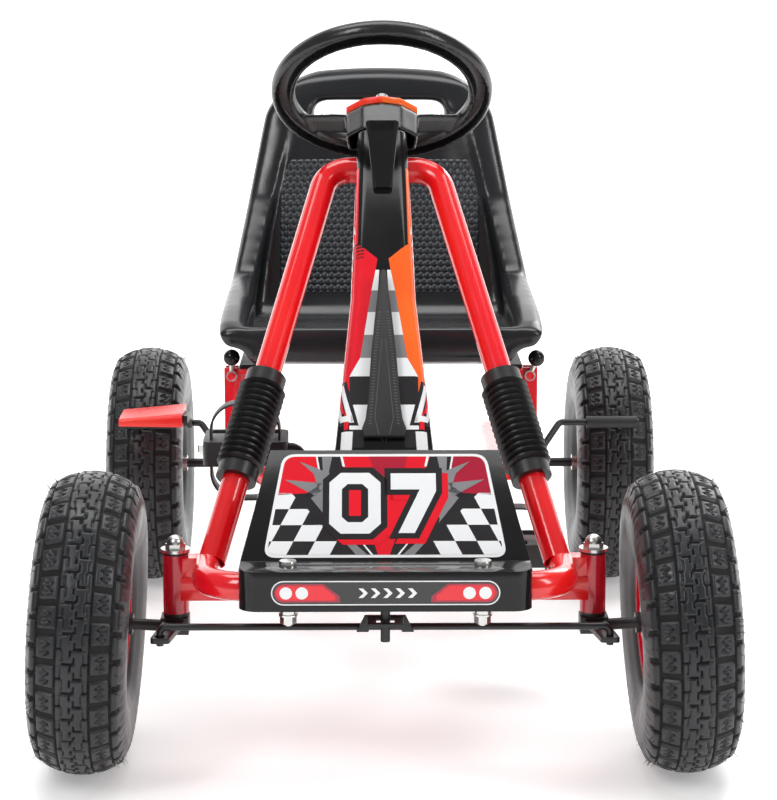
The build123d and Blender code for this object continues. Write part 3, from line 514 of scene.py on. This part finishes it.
def octagon(x, y, half_w, half_h, corner):
    """A block figure's outline: a box with its corners cut."""
    w, h = half_w - corner, half_h - corner
    return [(x - half_w, y - h), (x - w, y - half_h), (x + w, y - half_h), (x + half_w, y - h),
            (x + half_w, y + h), (x + w, y + half_h), (x - w, y + half_h), (x - half_w, y + h)]


def plate_sticker():
    """The plate's print in its own millimetres: x across, y up the slope."""
    low, high = at(0, -74, 202), at(0, 0, 280)
    up = (high - low).normalized()
    normal = Vector((0, -up.z, up.y))
    bottom, top, foot, head = 101.0, 86.0, 3.0, 103.5

    def half(y):
        return bottom + (top - bottom) * (y - foot) / (head - foot)

    def shape(inset):
        return [(-half(foot + inset) + inset, foot + inset), (half(foot + inset) - inset, foot + inset),
                (half(head - inset) - inset, head - inset), (-half(head - inset) + inset, head - inset)]

    field = rounded(shape(2.6), 9)
    layers = [(0, WHITE, rounded(shape(0), 11)), (1, BLACK, field)]

    def add(level, colour, points):
        layers.append((level, colour, clip(points, field)))

    row, column, skew = 15.5, 18.0, 7.0
    for side in (-1, 1):
        for r in range(5):
            for c in range(-1, 6):
                if (r + c) % 2:
                    continue
                y0, x0 = foot + r * row, 101 - c * column - r * skew
                cell = [(side * x0, y0), (side * (x0 - column), y0),
                        (side * (x0 - column - skew), y0 + row), (side * (x0 - skew), y0 + row)]
                corner = [(side * 24, foot), (side * 118, foot), (side * 118, 68),
                          (side * 72, 68), (side * 46, 28)]
                add(2, WHITE, clip(cell, corner))
        flare = [(side * 99, 62), (side * 54, 66), (side * 58, 103), (side * 99, 103)]
        add(2, RED if side < 0 else DARK, flare)
        add(3, WHITE, [(side * 57, 103), (side * 58.5, 103), (side * 55.5, 84), (side * 54, 84)])
        add(3, WHITE, [(side * 38, 103), (side * 36, 103), (side * 33.5, 91), (side * 35.5, 91)])
        add(3, GREY, [(side * 53, 103), (side * 44, 103), (side * 47, 86), (side * 45, 40), (side * 54, 56),
                      (side * 52, 84)])
        add(4, GREY, [(side * 46, 84), (side * 72, 96), (side * 60, 84), (side * 56, 70)])
        add(4, GREY, [(side * 49, 74), (side * 84, 78), (side * 58, 62)])
        add(4, GREY, [(side * 50, 70), (side * 62, 60), (side * 45, 36)])
        add(4, BLACK, [(side * 54, 66), (side * 70, 61), (side * 56, 72)])
        add(3, GREY, [(side * 34, 18), (side * 27, 18), (side * 12, 3), (side * 22, 3)])
        add(3, WHITE, [(side * 22, 20), (side * 20.5, 20), (side * 8, 3), (side * 10, 3)])
    add(2, RED, [(-38, 103), (39, 103), (26, 60), (9, 22), (3, 3), (-5, 3), (-11, 22), (-27, 60)])
    add(3, DARK, [(-14, 103), (20, 103), (12, 70), (2, 62), (-4, 74)])
    for x, shapes in ((-25, "round"), (24, "seven")):
        if shapes == "round":
            rings = [octagon(x, 55, 27, 35, 12), octagon(x, 55, 21.5, 29.5, 9.5),
                     octagon(x, 55, 11, 18.5, 5), octagon(x, 55, 5, 12.5, 0.5)]
        else:
            figure = [(x - 19 + 38 * px, 26 + 58 * py / 1.35) for px, py in SEVEN]
            rings = [grow(figure, 5.2), figure]
        add(5, RED, [(px + 5, py - 5) for px, py in rings[0]])
        for level, (colour, ring) in enumerate(zip((BLACK, WHITE, BLACK, RED), rings)):
            add(6 + level, colour, ring)
    place = lambda x, y, lift: low + Vector((x * MM, 0, 0)) + up * (y * MM) + normal * (lift * MM)
    sticker("plate_print", layers, place, 0.12, "chassis")


def ring_points(x, y, radius, count=24):
    """A round dot's outline."""
    turns = [2 * pi * k / count for k in range(count)]
    return [(x + radius * cos(turn), y + radius * sin(turn)) for turn in turns]


def capsule(half, radius, count=14):
    """A long outline with round ends."""
    turns = [pi * k / count for k in range(count + 1)]
    points = [(half - radius + radius * sin(turn), -radius * cos(turn)) for turn in turns]
    return points + [(-x, -y) for x, y in points]


def front_sticker():
    """The long capsule on the bumper's face, with two white dots at each end and plain chevrons between."""
    centre = at(0, -111, 184.5)
    layers = [(0, WHITE, capsule(93, 10.2)), (1, BLACK, capsule(92, 9.2))]
    for side in (-1, 1):
        edge = [(side * 92, -9), (side * 92, 9), (side * 52, 9), (side * 37, -3), (side * 37, -9)]
        layers.append((2, DARK, clip(capsule(90.5, 7.7), edge)))
        edge = [(side * 92, -9), (side * 92, 9), (side * 55, 9), (side * 41, -2.4), (side * 41, -9)]
        layers.append((3, RED, clip(capsule(89, 6.2), edge)))
        for x in (81, 68):
            layers.append((4, WHITE, ring_points(side * x, 0, 5.1)))
    for k in range(5):
        x = -22 + 10 * k
        layers.append((4, WHITE, [(x, -4), (x + 3.6, -4), (x + 7.6, 0), (x + 3.6, 4), (x, 4), (x + 4, 0)]))
    place = lambda x, y, lift: centre + Vector((x * MM, -lift * MM, y * MM))
    sticker("bumper_print", layers, place, 0.12, "chassis")


# ---------------------------------------------------------------- column stickers

COVER_STATIONS = ((54, 46, 17), (236, 58, 23), (430, 92, 33))
COVER_ROUND = 11.0


def cover_at(drop):
    """The column cover's width and its front's distance from the shaft, at a distance down the shaft."""
    for (d0, w0, f0), (d1, w1, f1) in zip(COVER_STATIONS, COVER_STATIONS[1:]):
        if drop <= d1:
            t = (drop - d0) / (d1 - d0)
            return w0 + (w1 - w0) * t, f0 + (f1 - f0) * t
    return COVER_STATIONS[-1][1:]


def on_cover(q, drop, lift):
    """A point on the column cover's skin: q mm round the front from its middle line."""
    width, front = cover_at(drop)
    flat = width / 2 - COVER_ROUND
    side, reach = (1 if q > 0 else -1), abs(q)
    if reach <= flat:
        x, forward, nx, nf = reach, front, 0, 1
    elif reach <= flat + COVER_ROUND * pi / 2:
        turn = (reach - flat) / COVER_ROUND
        nx, nf = sin(turn), cos(turn)
        x, forward = flat + COVER_ROUND * nx, front - COVER_ROUND + COVER_ROUND * nf
    else:
        x, forward, nx, nf = width / 2, front - COVER_ROUND - (reach - flat - COVER_ROUND * pi / 2), 1, 0
    return on_column(drop, forward + nf * lift, side * (x + nx * lift))


def strips(name, bands, body):
    """Bands on the column cover, each between two lines given at their start and end."""
    verts, faces, indices = [], [], []
    for level, colour, (start, end), (a0, b0), (a1, b1) in bands:
        rows, columns = max(2, int((end - start) / 4) + 2), 31
        first = len(verts)
        for i in range(rows):
            t = i / (rows - 1)
            a, b = a0 + (a1 - a0) * t, b0 + (b1 - b0) * t
            for j in range(columns):
                q = a + (b - a) * j / (columns - 1)
                verts.append(on_cover(q, start + (end - start) * t, 0.14 + 0.09 * level))
        new = [tuple(first + k for k in f) for f in grid_faces(rows, columns)]
        if (a0 + b0) + (a1 + b1) < 0:
            new = [f[::-1] for f in new]
        faces += new
        indices += [colour] * len(new)
    return piece(name, verts, faces, INKS, body, indices=indices)


# How far down the column, and how far from its middle line, the coloured side panel's inner edge runs.
PANEL_EDGE = [(180, 24), (198, 5), (210, 6.7), (232, 10.5), (255, 13.8), (303, 20.6),
              (322, 25), (340, 31), (352, 38)]
CHECKS = ((210, 232, WHITE), (232, 255, GREY), (255, 279, WHITE), (279, 303, GREY),
          (303, 322, WHITE), (322, 351, BLACK), (351, 376, WHITE), (376, 394, BLACK))


def panel_edge(drop):
    """How far from the middle line the coloured side panel begins."""
    return float(np.interp(drop, [d for d, _ in PANEL_EDGE], [e for _, e in PANEL_EDGE]))


def column_print():
    """The column cover's panels, checks, dashes and block figures."""
    bands = []
    for side, warm in ((-1, RED), (1, ORANGE)):
        s = lambda a, b: (side * a, side * b)
        bands.append((0, warm, (96, 180), s(22, 58), s(23, 60)))
        for (start, _), (end, _) in zip(PANEL_EDGE, PANEL_EDGE[1:]):
            far = 60 + 0.1 * (end - 180)
            bands.append((0, warm, (start, end), s(panel_edge(start), far), s(panel_edge(end), far)))
        bands.append((1, WHITE, (112, 230), s(31, 32.5), s(34, 36)))
        bands.append((1, WHITE, (230, 424), s(34, 36), s(58, 60)))
        for start, end, colour in CHECKS:
            inner = lambda d: float(np.interp(d, [210, 255, 303, 351, 394], [3.5, 6, 10.5, 13, 18]))
            outer = lambda d: panel_edge(d) if d < 322 else 30.0
            above, below = s(inner(start), outer(start)), s(inner(end), outer(end))
            bands.append((1, colour, (start, end), above, below))
        for start in range(160, 310, 13):
            q = 26 + 0.09 * (start - 160)
            bands.append((2, WHITE, (start, start + 8.5), s(q + 1.5, q + 4.4), s(q, q + 2.9)))
        bands.append((2, BLACK, (326, 372), s(33, 52), s(22, 42)))
        bands.append((3, WHITE, (329, 369), s(36, 40.5), s(26, 30.5)))
        bands.append((3, WHITE, (329, 335), s(36, 48), s(34.5, 46.5)))
        bands.append((3, WHITE, (362, 368), s(28, 40), s(26.5, 38.5)))
        bands.append((3, WHITE, (331, 366), s(45, 49), s(36, 40)))
        bands.append((3, RED, (339, 359), s(39.5, 43), s(34.5, 38)))
        bands.append((2, WHITE, (378, 398), s(27, 37), s(28, 38)))
        bands.append((2, RED, (352, 376), s(30, 34), s(31, 35)))
    strips("column_print", bands, "chassis")


def insert_lines():
    """Fine raised ribs in two rows down the wedge, with a thin line round its foot."""
    lines = []
    for start in range(262, 376, 3):
        half = float(np.interp(start, [219, 255, 303, 351, 394], [2, 6, 10.5, 13.5, 17]))
        for side in (-1, 1):
            a, b = side * (half - 4.4), side * (half - 1.8)
            lines.append(((start, start + 1.2), (a, b), (a, b)))
    for side in (-1, 1):
        lines.append(((290, 368), (side * 1.2, side * 1.9), (side * 7.6, side * 8.4)))
        lines.append(((368, 384), (side * 7.6, side * 8.4), (side * 4.2, side * 5.0)))
        lines.append(((384, 388), (side * 4.2, side * 5.0), (side * 0.2, side * 0.9)))
    verts, faces = [], []
    for (start, end), (a0, b0), (a1, b1) in lines:
        first = len(verts)
        for drop, a, b in ((start, a0, b0), (end, a1, b1)):
            for x in sorted((a, b)):
                foot = Vector(on_column(drop, 0, x))
                hit, spot, normal, _ = frame["nodes"]["column_insert"].ray_cast(
                    foot + column_front * 0.09, -column_front)
                verts.append((spot if hit else foot + column_front * 0.03) + column_front * 0.00025)
        faces.append((first, first + 1, first + 3, first + 2))
    piece("insert_ribs", verts, faces, RIB, "chassis", smooth=False)


# ---------------------------------------------------------------- seat

def outer_skin(source):
    """A hollow moulding's outside alone: the vent is closed and the inner skin left out."""
    work = bmesh.new()
    work.from_mesh(source)
    bmesh.ops.remove_doubles(work, verts=work.verts, dist=1e-6)
    low = min(v.co.z for v in work.verts)
    vent = [f for f in work.faces if f.calc_center_median().z < low + 0.006
            and hypot(f.calc_center_median().x, f.calc_center_median().y - at(0, 560, 0).y) < 0.0056]
    bmesh.ops.delete(work, geom=vent, context="FACES")
    seen, islands = set(), []
    for seed in work.faces:
        if seed in seen:
            continue
        island, queue = [], [seed]
        seen.add(seed)
        while queue:
            face = queue.pop()
            island.append(face)
            for edge in face.edges:
                for other in edge.link_faces:
                    if other not in seen:
                        seen.add(other)
                        queue.append(other)
        islands.append(island)
    span = lambda island: max(v.co.x for f in island for v in f.verts)
    keep = set(max(islands, key=span))
    bmesh.ops.delete(work, geom=[f for f in work.faces if f not in keep], context="FACES")
    bmesh.ops.holes_fill(work, edges=[e for e in work.edges if e.is_boundary])
    mesh = bpy.data.meshes.new("outer_skin")
    work.to_mesh(mesh)
    work.free()
    return mesh


def remeshed(node, name, voxel, rounds, body, hollow=False):
    """The CAD node's form as one soft skin: re-meshed, then smoothed so that its edges roll over."""
    source = frame["nodes"][node]
    obj = bpy.data.objects.new(name, outer_skin(source.data) if hollow else source.data.copy())
    bpy.context.scene.collection.objects.link(obj)
    skin = obj.modifiers.new("skin", "REMESH")
    skin.mode = "VOXEL"
    skin.voxel_size = voxel
    soft = obj.modifiers.new("soft", "SMOOTH")
    soft.iterations = rounds
    soft.factor = 0.5
    apply_modifiers(obj)
    obj.data.materials.clear()
    obj.data.materials.append(node_material[node])
    obj.data.shade_smooth()
    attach(obj, body)
    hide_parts(node)
    return obj


SEAT_VOXEL, SEAT_ROUNDS = 0.0026, 72
WHEEL_VOXEL, WHEEL_ROUNDS = 0.0015, 22


def make_seat():
    """The moulding's outside skin, its edges rolled over, with bolsters and two raised pads."""
    seat = remeshed("seat_shell", "moulded_seat", SEAT_VOXEL, SEAT_ROUNDS,
                    "seat", True)
    mesh = seat.data
    count = len(mesh.vertices)
    spots = np.empty(count * 3)
    mesh.vertices.foreach_get("co", spots)
    spots = spots.reshape(-1, 3) / MM
    y = spots[:, 1] - front_y / MM
    x, z = spots[:, 0], spots[:, 2]
    ease = lambda value, low, high: np.clip((value - low) / (high - low), 0, 1) ** 2
    facing = np.clip((722 - y) / 40, 0, 1) * np.clip((y - 470) / 60, 0, 1)
    bolster = np.exp(-(((np.abs(x) - (112 - 0.10 * (z - 300))) / 20) ** 2))
    spots[:, 1] -= 8 * bolster * ease(z, 320, 400) * ease(560 - z, 0, 60) * facing
    pads = np.exp(-(((np.abs(x) - 150) / 11) ** 6)) * np.exp(-(((z - 340) / 19) ** 6))
    spots[:, 1] -= 5 * pads * np.clip((500 - y) / 40, 0, 1)
    lip = np.clip((430 - y) / 25, 0, 1)
    spots[:, 2] -= 6 * lip * np.clip((np.abs(x) - 110) / 55, 0, 1) ** 2
    spots[:, 2] += 9 * lip * ease(300 - z, 0, 20) * np.clip((np.abs(x) - 60) / 100, 0, 1) ** 2
    crest = np.clip((z - 535) / 25, 0, 1)
    spots[:, 2] -= crest * 7 * (np.abs(x) / 95) ** 2
    mesh.vertices.foreach_set("co", (spots * MM).ravel())
    mesh.update()
    extra = seat.modifiers.new("extra", "SMOOTH")
    extra.iterations = 12
    extra.factor = 0.5
    apply_modifiers(seat)
    seat.data.shade_smooth()
    return seat


def make_scales(seat):
    """The scaly middle of the backrest: six-sided cells pressed out of the seat's own surface."""
    bpy.context.view_layer.update()
    cell, rows, columns = 7.6, 230, 300
    low, high, reach = 322.0, 470.0, 112.0
    verts, known = [], []
    for i in range(rows):
        height = low + (high - low) * i / (rows - 1)
        for j in range(columns):
            x = reach * (2 * j / (columns - 1) - 1)
            start = at(x, 470, height)
            hit, spot, normal, _ = seat.ray_cast(start, Vector((0, 1, 0)))
            a, b = x / cell, height / (cell * 0.866)
            best = 9.0
            for near in (round(b) - 1, round(b), round(b) + 1):
                shift = 0.5 * (near % 2)
                across = a - shift - round(a - shift)
                best = min(best, hypot(across, (b - near) * 0.866))
            bump = max(0.0, 1 - (best / 0.47) ** 4)
            top = 1 - ((x / reach) ** 2) ** 3
            fade = max(0.0, min(1, i / 5, (rows - 1 - i) / 5, 8 * (top - (i / rows) ** 6 * 0.5)))
            if not hit:
                spot = start + Vector((0, 0.22, 0))
            verts.append(spot + normal * ((-1.2 + fade * (1.3 + 1.1 * bump)) * MM))
            known.append(hit)
    faces = [f for f in grid_faces(rows, columns) if all(known[k] for k in f)]
    piece("seat_scales", verts, faces, SEAT_GRAIN, "seat")


# ---------------------------------------------------------------- stage

# Each light's name, place, size and power, in metres and watts.
LIGHTS = (("key", (-1.6, -2.2, 2.6), (0.8, 1.5), 34), ("fill", (2.2, -1.6, 1.8), (0.5, 1.8), 26),
          ("top", (0, 0.3, 2.8), (2.8, 1.2), 48), ("rim", (1.4, 2.2, 2.0), (1.2, 1.2), 22))


def make_stage():
    """A pale floor that bends up into a backdrop, a white world and four soft lights."""
    verts, faces = [], []
    bend = [k * pi / 24 for k in range(1, 13)]
    profile = [(-4, 0), (3.2, 0)]
    profile += [(3.2 + 1.6 * sin(turn), 1.6 - 1.6 * cos(turn)) for turn in bend]
    profile += [(4.8, 6)]
    for y, z in profile:
        verts += [(-8, y, z), (8, y, z)]
    for k in range(len(profile) - 1):
        faces.append((2 * k, 2 * k + 1, 2 * k + 3, 2 * k + 2))
    mesh = bpy.data.meshes.new("studio_floor")
    mesh.from_pydata(verts, [], faces)
    mesh.shade_smooth()
    made, nodes, links, shader = principled("floor_white", (0.93, 0.93, 0.93), 0.5)
    tone = spread(nodes, links, noise_at(nodes, links, 1.2), 0.45, 0.55)
    links.new(tone, shader.inputs["Roughness"])
    shader.inputs["Emission Color"].default_value = (1, 1, 1, 1)
    far = nodes.new("ShaderNodeVectorMath")
    far.operation = "LENGTH"
    links.new(nodes.new("ShaderNodeTexCoord").outputs["Object"], far.inputs[0])
    glow = spread(nodes, links, far.outputs["Value"], 0.3, 1.0, 1.1, 2.8)
    links.new(glow, shader.inputs["Emission Strength"])
    mesh.materials.append(made)
    floor = bpy.data.objects.new("studio_floor", mesh)
    bpy.context.scene.collection.objects.link(floor)

    world = bpy.data.worlds.new("studio")
    world.use_nodes = True
    nodes, links = world.node_tree.nodes, world.node_tree.links
    path = nodes.new("ShaderNodeLightPath")
    amount = spread(nodes, links, path.outputs["Is Camera Ray"], 0.30, 1.0, 0, 1)
    links.new(amount, nodes["Background"].inputs["Strength"])
    nodes["Background"].inputs["Color"].default_value = (1, 1, 1, 1)
    bpy.context.scene.world = world
    bpy.context.scene.view_settings.view_transform = "Standard"
    bpy.context.scene.view_settings.look = "None"
    bpy.context.scene.view_settings.exposure = 0.0

    aim = Vector((0, 0, 0.25))
    for name, spot, size, power in LIGHTS:
        light = bpy.data.lights.new(name, "AREA")
        light.shape = "RECTANGLE"
        light.size, light.size_y = size
        light.energy = power
        lamp = bpy.data.objects.new(name, light)
        lamp.location = spot
        lamp.rotation_euler = (aim - Vector(spot)).to_track_quat("-Z", "Y").to_euler()
        bpy.context.scene.collection.objects.link(lamp)


EYE = (-0.0166, -2.3485, 0.6955)
LOOK_DOWN, ROLL = 0.1824, 0.0099
LENS, SENSOR = 109.26, 36


def make_camera():
    """The eye in front of the kart, a little above it and looking down."""
    camera = bpy.data.cameras.new("camera")
    camera.sensor_width = SENSOR
    camera.lens = LENS
    eye = bpy.data.objects.new("camera", camera)
    eye.location = EYE
    eye.rotation_euler = (pi / 2 - LOOK_DOWN, 0, -ROLL)
    bpy.context.scene.collection.objects.link(eye)
    bpy.context.scene.camera = eye


make_camera()
make_stage()
make_tyres()
plate_sticker()
front_sticker()
column_print()
insert_lines()
make_scales(make_seat())
remeshed("steering_wheel", "moulded_wheel", WHEEL_VOXEL, WHEEL_ROUNDS, "steering")

# How wide each node's rounded edges are, in millimetres.
SOFTENED = {
    "bumper_cover": 2.4, "column_cover_front": 1.2, "column_cover_rear": 1.2, "column_beak": 1.4,
    "column_insert": 1.6, "pedal_left": 1.5, "pedal_right": 1.5, "brake_grip": 2.0,
    "seat_posts": 0.8, "knuckle_left": 0.8, "knuckle_right": 0.8, "tie_rod": 0.5,
    "chain_guard": 0.8, "brake_bar": 0.6, "front_axle_beam": 0.8,
    "pedal_strap_left": 0.6, "pedal_strap_right": 0.6,
}
node_body = {name: body for body, names in frame["record"]["behaviour"]["bodies"].items() for name in names}
for name, width in SOFTENED.items():
    softened(name, width * MM, node_body[name])

# The hub pad is red on the driver's right and orange on the rest.
pad = softened("steering_hub_pad", 2.0 * MM, "steering")
pad.data.materials.append(INK_ORANGE)
for face in pad.data.polygons:
    face.material_index = int(face.center.x > -0.006)

bpy.context.view_layer.update()
